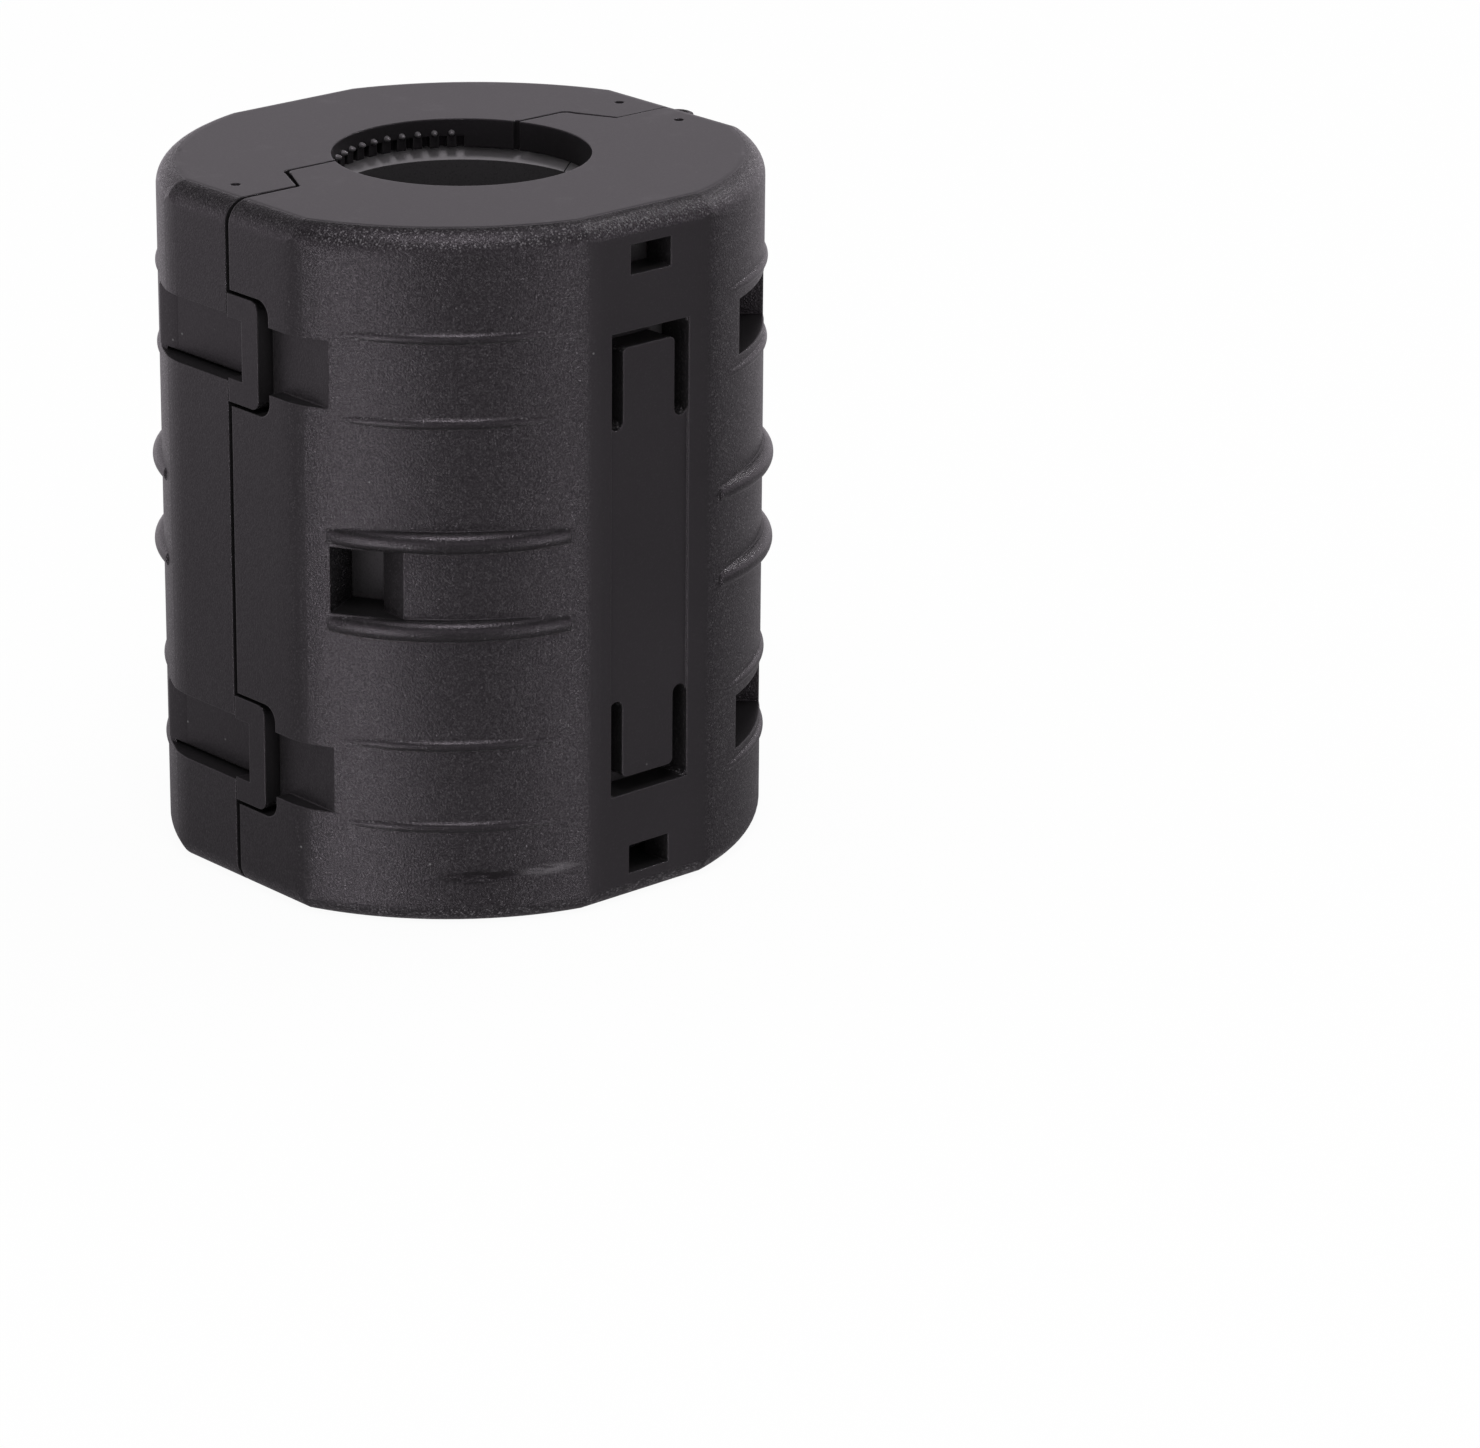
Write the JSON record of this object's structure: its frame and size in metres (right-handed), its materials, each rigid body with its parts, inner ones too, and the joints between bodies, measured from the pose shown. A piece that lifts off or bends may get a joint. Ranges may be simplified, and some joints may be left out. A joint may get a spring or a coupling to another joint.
{
  "type": "clip on ferrite bead",
  "caption": "Black ribbed snap case on a film hinge that closes round a cable, holding a split ferrite ring and locking with sprung latches.",
  "frame": {"origin": "centre of the cable bore at the lower end face, on which the bead stands", "axes": "+Z along the bore, +X from the latches to the film hinge, -Y towards the front half; the ring is split at Y = 0"},
  "size_m": [0.0299, 0.0286, 0.0355],
  "materials": {
    "case_front": "satin",
    "case_rear": "satin",
    "ferrite_front": "matte",
    "ferrite_rear": "matte",
    "film": "satin",
    "latch_upper": "satin",
    "latch_lower": "satin"
  },
  "bodies": {
    "front_half": {"front_shell": "case_front", "front_core": "ferrite_front", "hinge_film": "film"},
    "rear_half": {"rear_shell": "case_rear", "rear_core": "ferrite_rear"},
    "upper_snap": {"upper_latch": "latch_upper"},
    "lower_snap": {"lower_latch": "latch_lower"}
  },
  "joints": [
    {"name": "case_hinge", "type": "hinge", "parent": "front_half", "child": "rear_half", "pos_m": [0.01515, 0, 0.01775], "axis": [0, 0, -1], "range_deg": [0, 180], "deforming": ["hinge_film"]},
    {"name": "upper_latch_flex", "type": "hinge", "parent": "rear_half", "child": "upper_snap", "pos_m": [-0.0132, 0.0062, 0.02815], "axis": [0, 0, -1], "range_deg": [0, 8], "stiffness_Nm_per_rad": 0.18},
    {"name": "lower_latch_flex", "type": "hinge", "parent": "rear_half", "child": "lower_snap", "pos_m": [-0.0132, 0.0062, 0.00735], "axis": [0, 0, -1], "range_deg": [0, 8], "stiffness_Nm_per_rad": 0.18}
  ]
}
